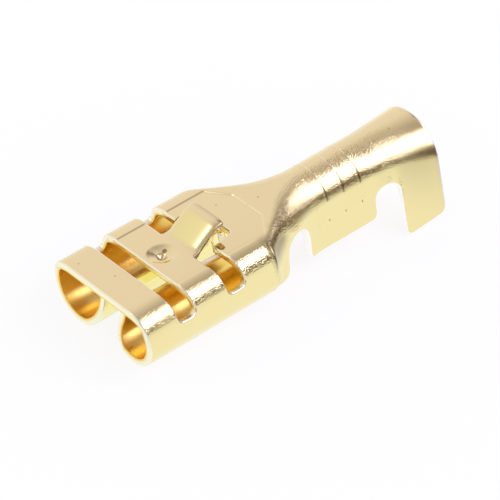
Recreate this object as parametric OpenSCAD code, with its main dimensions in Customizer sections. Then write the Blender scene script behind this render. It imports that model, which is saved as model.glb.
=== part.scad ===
// Female spade terminal, stamped and folded from one strip of brass.
// X runs from the mouth to the wire end along the strip, Y across it, and the
// outer face of the contact plate is z = 0 until the part is laid down at rest.

/* [Sheet] */
// Thickness of the brass strip
sheet_t = 0.4; // [0.3:0.05:0.5]

/* [Receptacle] */
// Width across the outside of the two rolls
receptacle_w = 7.6; // [7.2:0.1:8.4]
// Length of the full rolls, from the mouth to where the neck starts
roll_len = 7.5; // [7.2:0.1:9]
// Outside radius of the bend from the plate into a roll
shoulder_r = 1; // [0.9:0.05:1.2]
// Angle turned by that bend
shoulder_turn = 68; // [60:1:75]
// Outside radius of the upright side of a roll
flank_r = 2.1; // [1.9:0.1:2.5]
// Angle turned by the upright side
flank_turn = 46; // [42:1:50]
// Outside radius of the belly of a roll
belly_r = 1.67; // [1.6:0.01:1.75]
// Angle turned by the belly
belly_turn = 114; // [110:1:118]
// Outside radius of the bend below the inner edge of a roll
lip_r = 1.13; // [1:0.01:1.25]
// Angle turned by that bend
lip_turn = 47; // [43:1:50]
// Straight stretch at the inner edge of a roll
lip_len = 0.65; // [0.45:0.05:0.7]
// Set-back of the lead-in at the inner edge of a roll
lead_in = 0.75; // [0.3:0.05:1.2]
// Height of the lead-in, measured up the inner wall to the free edge
lead_in_h = 1.85; // [1:0.05:1.9]

/* [Slots] */
// Distance from the mouth to the first cross slot
slot_1_x = 1.8; // [1.4:0.1:2.1]
// Length of the first cross slot, along the strip
slot_1_len = 1.02; // [0.7:0.02:1.2]
// Distance from the mouth to the second cross slot
slot_2_x = 4.7; // [4.6:0.1:5]
// Length of the second cross slot, along the strip
slot_2_len = 1.08; // [0.7:0.02:1.2]
// How far the slots run down the outer walls
slot_drop = 1; // [0.8:0.05:1.1]
// Corner radius at the bottom of the slots
slot_corner = 0.3; // [0.1:0.05:0.34]

/* [Lance and dimple] */
// Width of the locking lance
lance_w = 2.5; // [1.8:0.1:2.8]
// Angle at which the lance rises
lance_rise = 36; // [25:1:42]
// Outside radius of the bend at the lance root
lance_root_r = 0.9; // [0.7:0.05:1.2]
// Straight stretch of the lance
lance_len = 1.1; // [0.8:0.05:1.3]
// Radius of the down-turned lance tip, over its upper face
lance_tip_r = 0.75; // [0.6:0.05:1]
// Angle by which the tip turns down
lance_tip_turn = 50; // [30:1:60]
// Length of the window that the lance leaves in the plate, behind the slot
window_len = 1.3; // [1:0.05:1.4]
// How much narrower the window is at its rear end
window_taper = 0.5; // [0:0.05:0.8]
// Diameter of the dimple at the plate face
dimple_d = 1.5; // [1:0.05:1.6]
// Depth of the dimple below the plate face
dimple_depth = 0.42; // [0.3:0.02:0.45]
// Diameter of the flat bottom of the dimple
dimple_floor_d = 0.3; // [0.2:0.05:0.5]

/* [Neck] */
// Length of the neck from the rolls to the round barrel
neck_len = 4.5; // [4.2:0.1:5]
// Exponent that draws the neck in early or late
neck_power = 1.55; // [1.4:0.05:1.8]
// Length over which the outline rounds into the neck
neck_round = 0.5; // [0.3:0.05:0.8]
// Length over which the belly of a roll is cut back at its rear end
roll_cut_len = 0.7; // [0.3:0.05:1]
// Height of the neck wall below its widest point
neck_wall = 1.3; // [1.2:0.05:1.5]
// Length over which the walls behind the rolls become straight
neck_unroll = 1.3; // [1:0.1:2]
// How much narrower than its lower edges the neck is at the top, each side
neck_pinch = 0.4; // [0:0.05:0.5]
// How far the walls of the neck lean outward, in degrees
neck_splay = 11; // [0:1:14]
// Distance from the mouth to the middle of the notch behind the neck wall
neck_notch_x = 10.2; // [10.1:0.05:10.4]
// Radius of the arch of that notch
neck_notch_r = 1; // [0.85:0.01:1.1]
// Depth of the top of that notch below the plate
neck_notch_top = 1.5; // [1.3:0.05:1.6]

/* [Wire barrel] */
// Outside radius of the wire barrel
wire_r = 1.45; // [1.35:0.05:1.55]
// Height of the crown of both barrels above the plate
crown_rise = 0.18; // [0.1:0.01:0.25]
// Depth of the wire wings below the plate
wire_wing_depth = 3.85; // [3.4:0.05:4]
// Distance from the mouth to the rear edge of the wire wings
wire_wing_end = 15.65; // [15.5:0.05:15.8]
// Number of serrations across the wire barrel
serration_n = 3; // [1:1:4]
// Distance from the mouth to the first serration
serration_x = 12.62; // [12.3:0.02:12.8]
// Spacing of the serrations
serration_pitch = 1.05; // [0.7:0.05:1.1]
// Width of a serration groove
serration_w = 0.22; // [0.16:0.02:0.3]
// Depth of a serration groove
serration_depth = 0.1; // [0.06:0.02:0.14]
// Height of the fine rib that each serration raises outside
serration_rib = 0.05; // [0.02:0.01:0.08]

/* [Insulation barrel] */
// Distance from the mouth to the start of the flare
flare_x = 16.2; // [16:0.05:16.3]
// Outside radius of the open end
mouth_r = 2.15; // [1.8:0.05:2.3]
// Overall length along the strip
overall_len = 19.2; // [18.8:0.05:20]
// Distance from the mouth to the front edge of the insulation wings
ins_wing_x = 16.95; // [16.9:0.05:17.2]
// Depth of the insulation wings below the plate
ins_wing_depth = 5.5; // [5.1:0.05:5.7]
// How much shallower they are at the open end
ins_wing_slant = 0.7; // [0.3:0.05:0.9]
// How far the insulation wings lean outward at their tips
ins_wing_lean = 0.4; // [0:0.02:0.5]
// Depth of the top of the notch between the wings
wing_notch_top = 2.2; // [2.1:0.05:2.4]
// Corner radius at the top of that notch
wing_notch_corner = 0.45; // [0.2:0.05:0.55]
// Corner radius of the wing tips
wing_corner = 0.35; // [0.15:0.05:0.45]

/* [Hidden] */
$fn = 96;

far = 12;
edge_gap = 0.02;
seam = 0.02;
brass = [0.85, 0.68, 0.36];

neck_end = roll_len + neck_len;
half_w = receptacle_w / 2;
plate_half = half_w - flank_r + (flank_r - shoulder_r) * sin(shoulder_turn);

// Where each bend of a roll starts, and the sheet edge, as [y, z, heading].
shoulder = [plate_half, 0, 0];
flank = walk(shoulder, 1 / shoulder_r, shoulder_r * rad(shoulder_turn));
belly = walk(flank, 1 / flank_r, flank_r * rad(flank_turn));
lip = walk(belly, 1 / belly_r, belly_r * rad(belly_turn));
lip_top = walk(lip, 1 / lip_r, lip_r * rad(lip_turn));
free_edge = walk(lip_top, 0, lip_len);
belly_c = [belly[0] + belly_r * sin(belly[2]), belly[1] - belly_r * cos(belly[2])];
roll_depth = belly_r - belly_c[1];
widest_z = flank[1] - flank_r * cos(flank[2]);

lead_in_z = free_edge[1] - lead_in_h;
wire_z = crown_rise - wire_r;
wire_wing_x = neck_notch_x + neck_notch_r;
notch_x = neck_notch_x - neck_notch_r;
neck_depth = neck_wall - widest_z;
lance_half = lance_w / 2;
// Laid down, the part touches at the front of the rolls and at the wing tips.
wing_fall = ins_wing_slant / (overall_len - ins_wing_x);
rest_depth = ins_wing_depth - (0.7 * wing_fall + 0.05) * wing_corner;
rest_tilt = atan2(rest_depth - roll_depth, ins_wing_x + 0.7 * wing_corner);
rest_h = roll_depth * cos(rest_tilt);
rest_len = (overall_len - wing_corner) * cos(rest_tilt)
    + (ins_wing_depth - ins_wing_slant - wing_corner) * sin(rest_tilt) + wing_corner;

function rad(deg) = deg * PI / 180;
function mix(a, b, f) = a + (b - a) * f;
function clamp01(v) = max(0, min(1, v));
function ease(v) = clamp01(v) * clamp01(v) * (3 - 2 * clamp01(v));

// A walk of length s from [y, z, heading] that turns clockwise at a given curvature.
function walk(p, curve, s) = abs(curve) < 0.001
    ? [p[0] + s * cos(p[2]), p[1] + s * sin(p[2]), p[2]]
    : [
        p[0] + (sin(p[2]) - sin(p[2] - s * curve * 180 / PI)) / curve,
        p[1] + (cos(p[2] - s * curve * 180 / PI) - cos(p[2])) / curve,
        p[2] - s * curve * 180 / PI
    ];

// How far the section at x has gone from the rolls to the round barrel.
function drawn(x) = let (
    w = max(0, x - roll_len),
    eased = w < neck_round ? w * w / (2 * neck_round) : w - neck_round / 2
) clamp01(eased / (neck_len - neck_round / 2));
function outline_half(x) = mix(wire_r, half_w, pow(1 - drawn(x), neck_power));
function blend(x) = ease((x - roll_len) / (neck_len * 0.8));
function bend_r(x) = mix(shoulder_r, wire_r, blend(x));
function upper_r(x) = mix(flank_r, wire_r, blend(x));
function top_z(x) = crown_rise * ease((x - roll_len - 1.4) / (neck_len - 1.4));
function wall_slope(x) = (outline_half(x + 0.02) - outline_half(x - 0.02)) / 0.04;
function pinched(x) = ease((x - roll_len) / 0.7) * ease((neck_notch_x + 0.2 - x) / 1.7);
function unrolled(x) = ease((x - roll_len) / neck_unroll);
function flat_half(x) = max(
    seam,
    outline_half(x) - neck_pinch * pinched(x) - bend_r(x) * sin(shoulder_turn)
        - upper_r(x) * (1 - sin(shoulder_turn))
);

// Depth of the sheet edge along the neck: a straight wall, the arch, then the wing.
function arch_depth(x) = neck_notch_top + neck_notch_r
    - sqrt(max(0, pow(neck_notch_r, 2) - pow(x - neck_notch_x, 2)));
function neck_edge(x) = x <= notch_x ? neck_depth
    : x < wire_wing_x ? min(neck_depth, arch_depth(x))
    : wire_wing_depth - rounded(x - wire_wing_x, wing_corner);

// What a rounded corner of radius r takes off an edge at a distance d from the side.
function rounded(d, r) = d >= r ? 0 : r - sqrt(max(0, r * r - pow(r - d, 2)));

// Outer points with headings, from the middle of the plate to the sheet edge.
function neck_walk(x) = let (
    bend = [flat_half(x), top_z(x), 0],
    knee = walk(bend, 1 / bend_r(x), bend_r(x) * rad(shoulder_turn)),
    rest = 90 - shoulder_turn - neck_splay * pinched(x),
    side = walk(knee, 1 / upper_r(x), upper_r(x) * rad(rest)),
    curl = (1 - unrolled(x)) / flank_r,
    drop = (side[1] + neck_edge(x)) / cos(neck_splay * pinched(x))
) concat(
    [for (i = [0:6]) walk(bend, 1 / bend_r(x), bend_r(x) * rad(shoulder_turn) * i / 6)],
    [for (i = [1:2]) walk(knee, 1 / upper_r(x), upper_r(x) * rad(rest) * i / 2)],
    [for (i = [1:3]) walk(side, curl, drop * i / 3)]
);

// The flared barrel: a half circle with straight walls that lean outward.
function flare(x) = clamp01((x - flare_x) / (overall_len - flare_x));
function wing_edge(x) = x < ins_wing_x
    ? wing_notch_top + rounded(ins_wing_x - x, wing_notch_corner)
    : ins_wing_depth - wing_fall * (x - ins_wing_x)
        - rounded(min(x - ins_wing_x, overall_len - x), wing_corner);
function flare_walk(x) = let (
    r = mix(wire_r, mouth_r, flare(x)),
    lean = atan2(ins_wing_lean * ease(flare(x) * 4), ins_wing_depth + crown_rise - r),
    crown = [seam, crown_rise, 0],
    foot = walk(crown, 1 / r, r * rad(90 - lean))
) concat(
    [for (i = [0:9]) walk(crown, 1 / r, r * rad(90 - lean) * i / 9)],
    [walk(foot, 0, (wing_edge(x) + foot[1]) / cos(lean))]
);

function outer(path) = [for (p = path) [p[0], p[1]]];
function inner(path, slope) = [
    for (p = path) let (
        t = sheet_t * sqrt(1 + pow(slope * sin(p[2]), 2))
    ) [p[0] + t * sin(p[2]), p[1] - t * cos(p[2])]
];
function reversed(v) = [for (i = [len(v) - 1:-1:0]) v[i]];
function mirrored(v) = [for (p = v) [-p[0], p[1]]];

// Closed outline of a section: one side in, the other out, and back inside.
function ring(path, slope) = concat(
    reversed(outer(path)),
    mirrored(outer(path)),
    reversed(mirrored(inner(path, slope))),
    inner(path, slope)
);

// Outer points of a roll, a bend at a time.
function arc_points(p, r, turn, n) = [
    for (i = [1:n]) walk(p, 1 / r, r * rad(turn) * i / n)
];
roll_path = concat(
    [shoulder],
    arc_points(shoulder, shoulder_r, shoulder_turn, 8),
    arc_points(flank, flank_r, flank_turn, 6),
    arc_points(belly, belly_r, belly_turn, 14),
    arc_points(lip, lip_r, lip_turn, 6),
    [free_edge]
);

module along_x(x0, x1) {
    translate([x0, 0, 0])
        rotate([90, 0, 90])
            linear_extrude(x1 - x0)
                children();
}

module across() {
    rotate([90, 0, 0])
        linear_extrude(2 * far, center = true)
            children();
}

// A shell through a row of sections that all have the same number of points.
module loft(xs, rings) {
    n = len(rings[0]);
    last = len(xs) - 1;
    points = [for (i = [0:last]) for (p = rings[i]) [xs[i], p[0], p[1]]];
    skin = [
        for (i = [0:last - 1]) for (j = [0:n - 1]) let (
            k = (j + 1) % n,
            a = i * n + j,
            b = i * n + k
        ) each [[a, a + n, b], [b, a + n, b + n]]
    ];
    end_cap = [
        for (j = [0:n / 2 - 2]) each [[j, j + 1, n - 1 - j], [j + 1, n - 2 - j, n - 1 - j]]
    ];
    far_cap = [for (f = end_cap) [for (k = [2:-1:0]) f[k] + last * n]];
    polyhedron(points, concat(skin, end_cap, far_cap), convexity = 8);
}

module receptacle_shell() {
    along_x(0, roll_len)
        polygon(ring(roll_path, 0));
}

module receptacle() {
    difference() {
        receptacle_shell();
        across() {
            slot_profile(slot_1_x, slot_1_len);
            slot_profile(slot_2_x, slot_2_len);
            roll_cut();
        }
        window();
        lead_in_cut();
    }
}

module neck_shell() {
    arch = [for (i = [0:8]) neck_notch_x - neck_notch_r * cos(180 * i / 8)];
    xs = concat(
        [for (i = [0:7]) mix(roll_len, notch_x - edge_gap, i / 7)],
        [for (i = [1:7]) arch[i]],
        [wire_wing_x - edge_gap, wire_wing_x],
        [for (a = [30, 60, 90]) wire_wing_x + wing_corner * (1 - cos(a))],
        [neck_end]
    );
    loft(xs, [for (x = xs) ring(neck_walk(x), wall_slope(x))]);
}

module u_section(r, depth) {
    difference() {
        union() {
            circle(r);
            translate([-r, -depth])
                square([2 * r, depth]);
        }
        circle(r - sheet_t);
        translate([sheet_t - r, -depth - 1])
            square([2 * (r - sheet_t), depth + 1]);
    }
}

module wire_barrel() {
    difference() {
        union() {
            along_x(neck_end, flare_x)
                translate([0, wire_z])
                    u_section(wire_r, wire_wing_depth + wire_z);
            each_serration()
                serration_ridge(serration_x);
        }
        across() {
            wing_notch();
            translate([wire_wing_end, -wire_wing_depth])
                mirror([1, 0])
                    corner_bit(wing_corner);
        }
        each_serration()
            serration_groove(serration_x);
    }
}

module flare_shell() {
    notch_side = ins_wing_x - wing_notch_corner;
    tip_rear = overall_len - wing_corner;
    turn = [30, 60, 90];
    xs = concat(
        [flare_x, notch_side],
        [for (a = [30, 60]) notch_side + wing_notch_corner * sin(a)],
        [ins_wing_x - edge_gap, ins_wing_x],
        [for (a = turn) ins_wing_x + wing_corner * (1 - cos(a))],
        [mix(ins_wing_x + wing_corner, tip_rear, 0.5), tip_rear],
        [for (a = turn) tip_rear + wing_corner * sin(a)]
    );
    loft(xs, [for (x = xs) ring(flare_walk(x), 0)]);
}

// A groove across the inside of the barrel and the fine rib over it.
module serration_groove(x) {
    along_x(x - serration_w / 2, x + serration_w / 2)
        translate([0, wire_z])
            circle(wire_r - sheet_t + serration_depth);
}

module serration_ridge(x) {
    along_x(x - serration_w / 4, x + serration_w / 4)
        translate([0, wire_z])
            difference() {
                circle(wire_r + serration_rib);
                circle(wire_r - sheet_t / 2);
                translate([-far, -2 * far])
                    square(2 * far);
            }
}

module each_serration() {
    for (i = [0:serration_n - 1])
        translate([i * serration_pitch, 0, 0])
            children();
}

// What is left of a square corner when it is rounded.
module corner_bit(r) {
    difference() {
        translate([-0.2, -0.2])
            square(r + 0.2);
        translate([r, r])
            circle(r);
    }
}

module wing_notch() {
    r = wing_notch_corner;
    x0 = wire_wing_end;
    translate([x0 + r, -wing_notch_top - r])
        circle(r);
    translate([x0 + r, -far])
        square([far, far - wing_notch_top]);
    translate([x0, -far])
        square([far, far - wing_notch_top - r]);
}

module slot_profile(x, length) {
    r = slot_corner;
    for (cx = [x + r, x + length - r])
        translate([cx, r - slot_drop])
            circle(r);
    translate([x, r - slot_drop])
        square([length, far]);
    translate([x + r, -slot_drop])
        square([length - 2 * r, far]);
}

// The blank's edge crosses the belly of each roll at its rear end.
module roll_cut() {
    polygon([
        [roll_len - roll_cut_len, -roll_depth - 0.1],
        [roll_len, -neck_depth],
        [roll_len + 1, -neck_depth],
        [roll_len + 1, -roll_depth - 0.1]
    ]);
}

module window() {
    x0 = slot_2_x + slot_2_len;
    translate([0, 0, -sheet_t - 0.3])
        linear_extrude(1)
            polygon([
                [x0 - 0.2, -lance_half],
                [x0 + window_len, window_taper / 2 - lance_half],
                [x0 + window_len, lance_half - window_taper / 2],
                [x0 - 0.2, lance_half]
            ]);
}

module lead_in_cut() {
    rotate([90, 0, 0])
        linear_extrude(2 * belly_c[0], center = true)
            polygon([
                [-1, lead_in_z],
                [0, lead_in_z],
                [lead_in * 1.1, lead_in_z + lead_in_h * 1.1],
                [-1, lead_in_z + lead_in_h * 1.1]
            ]);
}

function lance_path() = let (
    root = [slot_2_x, 0, 0],
    root_r = lance_root_r - sheet_t,
    rise = walk(root, -1 / root_r, root_r * rad(lance_rise)),
    neck = walk(rise, 0, lance_len)
) concat(
    [for (i = [0:4]) walk(root, -1 / root_r, root_r * rad(lance_rise) * i / 4)],
    [for (i = [0:6]) walk(neck, 1 / lance_tip_r, lance_tip_r * rad(lance_tip_turn) * i / 6)]
);

module lance() {
    rotate([90, 0, 0])
        linear_extrude(lance_w, center = true)
            polygon(concat(outer(lance_path()), reversed(inner(lance_path(), 0))));
}

module dimple() {
    difference() {
        union() {
            children();
            at_dimple()
                translate([0, 0, -dimple_depth - sheet_t * 0.6])
                    cylinder(
                        h = dimple_depth + sheet_t * 0.3,
                        d1 = dimple_floor_d + sheet_t,
                        d2 = dimple_d
                    );
        }
        at_dimple()
            translate([0, 0, -dimple_depth])
                cylinder(
                    h = dimple_depth * 2,
                    d1 = dimple_floor_d,
                    d2 = 2 * dimple_d - dimple_floor_d
                );
    }
}

module at_dimple() {
    translate([(slot_1_x + slot_1_len + slot_2_x) / 2, 0, 0])
        children();
}

module terminal() {
    color(brass)
        translate([-rest_len / 2, 0, rest_h])
            rotate([0, -rest_tilt, 0]) {
                dimple()
                    receptacle();
                lance();
                neck_shell();
                wire_barrel();
                flare_shell();
            }
}

terminal();
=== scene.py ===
"""Dresses the female spade terminal: one strip of brass, stamped flat and folded.

The strip is drawn as its flat blank, with its slots, window and wings cut in it,
and then every point of the blank is carried to its place on the folded part.
"""

from __future__ import annotations

import logging
import math
from dataclasses import dataclass, field
from enum import Enum
from typing import Any, Callable, Sequence

import bmesh
import bpy
import numpy as np
from mathutils import Matrix, Vector
from mathutils.geometry import delaunay_2d_cdt

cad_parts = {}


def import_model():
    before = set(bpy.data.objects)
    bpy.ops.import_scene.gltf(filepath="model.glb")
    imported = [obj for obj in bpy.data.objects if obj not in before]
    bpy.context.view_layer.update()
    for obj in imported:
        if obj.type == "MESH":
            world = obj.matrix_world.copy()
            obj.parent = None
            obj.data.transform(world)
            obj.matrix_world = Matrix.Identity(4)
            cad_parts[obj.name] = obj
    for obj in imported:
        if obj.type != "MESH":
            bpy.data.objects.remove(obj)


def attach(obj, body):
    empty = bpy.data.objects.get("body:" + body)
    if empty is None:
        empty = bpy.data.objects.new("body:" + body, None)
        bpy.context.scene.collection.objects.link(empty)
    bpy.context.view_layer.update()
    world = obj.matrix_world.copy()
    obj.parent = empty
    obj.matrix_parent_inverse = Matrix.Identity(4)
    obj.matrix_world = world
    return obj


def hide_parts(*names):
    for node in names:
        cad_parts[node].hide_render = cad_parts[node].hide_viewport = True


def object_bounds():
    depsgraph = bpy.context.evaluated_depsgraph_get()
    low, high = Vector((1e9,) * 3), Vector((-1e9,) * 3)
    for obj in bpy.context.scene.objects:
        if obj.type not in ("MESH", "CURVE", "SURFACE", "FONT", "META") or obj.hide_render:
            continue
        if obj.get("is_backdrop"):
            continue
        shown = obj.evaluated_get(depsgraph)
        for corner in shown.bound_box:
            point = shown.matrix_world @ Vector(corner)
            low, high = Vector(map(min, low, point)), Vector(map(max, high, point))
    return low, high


log = logging.getLogger("terminal")

Array = np.ndarray
Range = tuple[float, float]
Colour = tuple[float, float, float]
Faces = list[tuple[int, ...]]

MM = 0.001
ENDLESS = 99.0
# A blended corner cuts its sides this many radii away to look like a round one.
ROUNDING = 1.3
SLOT_ROUNDING = 1.4
MIRROR = np.array([1.0, -1.0, 1.0])


# ---------------------------------------------------------------- small helpers


def ease(value: Array | float) -> Array:
    """Return a smooth 0 to 1 step of a value already scaled to 0 to 1."""
    held = np.clip(value, 0.0, 1.0)
    return held * held * (3.0 - 2.0 * held)


def mixed(low: Array | float, high: Array | float, share: Array | float) -> Array:
    """Return the blend of two values."""
    return low + (high - low) * share


def paired(x: Array | float, s: Array | float) -> Array:
    """Join two coordinates into points, one row each."""
    return np.stack(np.broadcast_arrays(x, s), axis=1)


def unit(rows: Array) -> Array:
    """Return rows scaled to length 1."""
    return rows / np.linalg.norm(rows, axis=1, keepdims=True)


def dense(points: Sequence[Sequence[float]], step: float) -> Array:
    """Put points along a broken line so that none is further than a step apart.

    Args:
        points: The corners of the line.
        step: The longest distance between two points.

    Returns:
        The points, both ends included.
    """
    out: list[Array] = []
    for a, b in zip(points[:-1], points[1:]):
        start, end = np.asarray(a, float), np.asarray(b, float)
        count = max(1, math.ceil(float(np.linalg.norm(end - start)) / step))
        out.extend(start + (end - start) * i / count for i in range(count))
    out.append(np.asarray(points[-1], float))
    return np.array(out)


def filleted(corners: Sequence[tuple[float, float, float]], step: float = 0.03) -> Array:
    """Round the corners of a broken line.

    Args:
        corners: Each corner as x, s and the distance at which its rounding starts.
        step: Rough spacing of the points on a rounded corner.

    Returns:
        The points of the line.
    """
    out: list[Array] = []
    last = len(corners) - 1
    for i, (x, s, cut) in enumerate(corners):
        here = np.array([x, s])
        if i in (0, last) or cut <= 0:
            out.append(here)
            continue
        before = np.array(corners[i - 1][:2]) - here
        after = np.array(corners[i + 1][:2]) - here
        start = here + before / np.linalg.norm(before) * cut
        end = here + after / np.linalg.norm(after) * cut
        count = max(3, math.ceil(1.5 * cut / step))
        for k in range(count + 1):
            t = k / count
            out.append((1 - t) ** 2 * start + 2 * t * (1 - t) * here + t * t * end)
    return np.array(out)


def walk(
    across: Array, height: Array, left: Array, stretches: Sequence[tuple[Any, Any]]
) -> tuple[Array, Array, Array]:
    """Walk along a chain of bends, level at first and turning down.

    Args:
        across: Where each walk starts, level.
        height: Where each walk starts, upright.
        left: How far each walk goes.
        stretches: The length and the turn per millimetre of each bend.

    Returns:
        The place across, the height and the heading at each walk's end.
    """
    heading = np.zeros_like(left)
    last = len(stretches) - 1
    for i, (length, curve) in enumerate(stretches):
        run = left if i == last else np.minimum(left, length)
        run = np.maximum(run, 0.0) if i else run
        turned = heading - run * curve
        bent = np.abs(curve) > 1e-6
        safe = np.where(bent, curve, 1.0)
        level = (np.sin(heading) - np.sin(turned)) / safe
        upright = (np.cos(turned) - np.cos(heading)) / safe
        across = across + np.where(bent, level, run * np.cos(heading))
        height = height + np.where(bent, upright, run * np.sin(heading))
        heading = turned
        left = left - run
    return across, height, heading


def inward(line: Array) -> Array:
    """Find the mitred directions that point into the sheet along its edge.

    Args:
        line: Points of an edge with the sheet on its right-hand side.

    Returns:
        One direction a point, longer at a corner so that an inset edge is parallel.
    """
    step = unit(np.diff(line, axis=0))
    side = paired(step[:, 1], -step[:, 0])
    first = np.concatenate([side[:1], side])
    both = unit(first + np.concatenate([side, side[-1:]]))
    return both / np.clip((both * first).sum(1), 0.55, 1.0)[:, None]


def inside(points: Array, loop: Array) -> Array:
    """Find which points lie inside a closed loop.

    Args:
        points: The points, one row each.
        loop: The corners of the loop.

    Returns:
        True for each point inside.
    """
    x, y = points[:, 0], points[:, 1]
    hit = np.zeros(len(points), bool)
    for a, b in zip(loop, np.roll(loop, -1, axis=0)):
        crosses = (a[1] > y) != (b[1] > y)
        if not crosses.any():
            continue
        at = (b[0] - a[0]) * (y - a[1]) / (b[1] - a[1] + 1e-15) + a[0]
        hit ^= crosses & (x < at)
    return hit


# ---------------------------------------------------------------- the folded strip


class Face(Enum):
    """The two faces of the strip."""

    OUTER = 0
    INNER = 1


@dataclass(frozen=True)
class Bend:
    """One stretch of a section: a length and how sharply it turns."""

    radius: float
    turn: float

    @property
    def length(self) -> float:
        """Length along the outer face, in millimetres."""
        return self.radius * math.radians(self.turn)


@dataclass(frozen=True)
class Sheet:
    """The brass strip."""

    thickness: float = 0.4
    shear_round: float = 0.1
    burr_round: float = 0.035
    burr_start: float = 0.6
    spacing: float = 0.125


@dataclass(frozen=True)
class Receptacle:
    """The plate and the two rolls that hold the tab."""

    width: float = 7.6
    length: float = 7.5
    onset: Bend = Bend(2.7, 14.9)
    shoulder: Bend = Bend(0.95, 53.1)
    flank: Bend = Bend(2.0, 46.0)
    belly: Bend = Bend(1.67, 114.0)
    lip: Bend = Bend(1.13, 47.0)
    lip_length: float = 0.65
    lead_in: float = 0.75
    lead_in_height: float = 1.85
    cut_back: float = 0.7
    cut_clear: float = 0.1
    cut_lead: float = 0.3
    corner: float = 0.12

    @property
    def plate_half(self) -> float:
        """Half of the flat plate's width."""
        first = math.sin(math.radians(self.onset.turn))
        second = math.sin(math.radians(self.onset.turn + self.shoulder.turn))
        return (
            self.width / 2
            - self.flank.radius
            + (self.flank.radius - self.shoulder.radius) * second
            + (self.shoulder.radius - self.onset.radius) * first
        )

    @property
    def side(self) -> float:
        """Developed length from the middle of the plate to where a roll is widest."""
        turned = math.radians(90 - self.shoulder.turn - self.onset.turn)
        middle = self.plate_half + self.onset.length + self.shoulder.length
        return middle + self.flank.radius * turned

    @property
    def half_length(self) -> float:
        """Developed length from the middle of the plate to the free edge."""
        bends = (self.onset, self.shoulder, self.flank, self.belly, self.lip)
        return self.plate_half + sum(b.length for b in bends) + self.lip_length


@dataclass(frozen=True)
class Slots:
    """The two cross slots of the receptacle."""

    first: float = 1.8
    first_length: float = 1.02
    second: float = 4.7
    second_length: float = 1.08
    drop: float = 1.0
    corner: float = 0.3

    def span(self, index: int) -> Range:
        """Return the front and rear of a slot."""
        start = (self.first, self.second)[index]
        return start, start + (self.first_length, self.second_length)[index]


@dataclass(frozen=True)
class Lance:
    """The locking tongue, raised from the plate behind the second slot."""

    width: float = 2.5
    rise: float = 34.5
    root_radius: float = 0.9
    straight: float = 1.3
    tip_radius: float = 0.7
    tip_turn: float = 62.0
    window_length: float = 1.3
    window_taper: float = 0.5
    window_gap: float = 0.05
    drawn_gap: float = 0.07
    drawn_short: float = 0.12
    drawn_reach: float = 0.03
    droop: float = 0.16
    droop_power: int = 6
    droop_start: float = 0.5

    def stretches(self, sheet: Sheet) -> tuple[Range, ...]:
        """Return the tongue's lengths and curves along its upper face."""
        root = self.root_radius - sheet.thickness
        return (
            (root * math.radians(self.rise), -1.0 / root),
            (self.straight, 0.0),
            (self.tip_radius * math.radians(self.tip_turn), 1.0 / self.tip_radius),
        )

    def length(self, sheet: Sheet) -> float:
        """Return the developed length of the tongue."""
        return sum(length for length, _ in self.stretches(sheet))


@dataclass(frozen=True)
class Dimple:
    """The pit in the plate that snaps into the hole of the tab."""

    place: float = 3.76
    diameter: float = 1.5
    dish: float = 0.2
    depth: float = 0.36
    floor: float = 0.3
    soft: float = 0.02
    sink: float = 0.001
    centre: float = 0.42
    reach: float = 1.6
    bump_rim: float = 0.08

    def pit(self, x: Array, s: Array) -> Array:
        """Return how deep the outer face is pressed in: a dish with a deeper middle."""
        away = np.hypot(x - self.place, s) / (self.diameter / 2)
        bowl = self.dish * (1.0 - away * away)
        dish = 0.5 * (bowl + np.sqrt(bowl * bowl + self.soft**2)) - self.sink
        middle = (self.depth - self.dish) * ease((self.centre - away) / self.centre)
        return np.where(away > self.reach, 0.0, dish + middle)

    def bump(self, x: Array, s: Array) -> Array:
        """Return how far the inner face stands out."""
        away = np.hypot(x - self.place, s)
        rim = self.diameter / 2 + self.bump_rim
        return ease((rim - away) / (rim - self.floor)) * self.depth


@dataclass(frozen=True)
class CoinedPlate:
    """The part of the plate that the press leaves a little lower."""

    half: float = 2.4
    rear: float = 8.95
    rear_half: float = 1.1
    corner: float = 8.1
    front: float = 2.2
    line_start: float = 2.9
    depth: float = 0.055
    soft: float = 0.05

    def outside(self, x: Array, s: Array) -> Array:
        """Return the distance out of the coined area, negative inside it."""
        run, rise = self.rear - self.corner, self.half - self.rear_half
        size = math.hypot(run, rise)
        slant = ((x - self.corner) * rise + (s - self.half) * run) / size
        sides = np.maximum(np.maximum(s - self.half, x - self.rear), slant)
        return np.maximum(sides, self.front - x)

    def edge(self) -> list[Range]:
        """Return the corners of its edge, from the front to the centre line."""
        return [
            (self.line_start, self.half),
            (self.corner, self.half),
            (self.rear, self.rear_half),
            (self.rear, 0.0),
        ]

    def drop(self, x: Array, s: Array) -> Array:
        """Return how far the face is pressed down."""
        away = self.outside(x, s)
        return self.depth * (1.0 - ease((away + self.soft) / (2 * self.soft)))

    def worn(self, x: Array, s: Array, depth: Array) -> Array:
        """Find how strongly each point gets the painted highlight along the rear of the
        coined edge.

        Args:
            x: Distances from the mouth.
            s: Distances from the centre line.
            depth: How deep each point is in the sheet.

        Returns:
            The share at each point.
        """
        rear = (depth < 0.01) & (x > self.corner)
        straight = 0.35 + 0.65 * ease((self.rear_half + 0.1 - s) / 0.2)
        line = np.exp(-((self.outside(x, s) / 0.03) ** 2))
        return np.where(rear, straight * line, 0.0)


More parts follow.
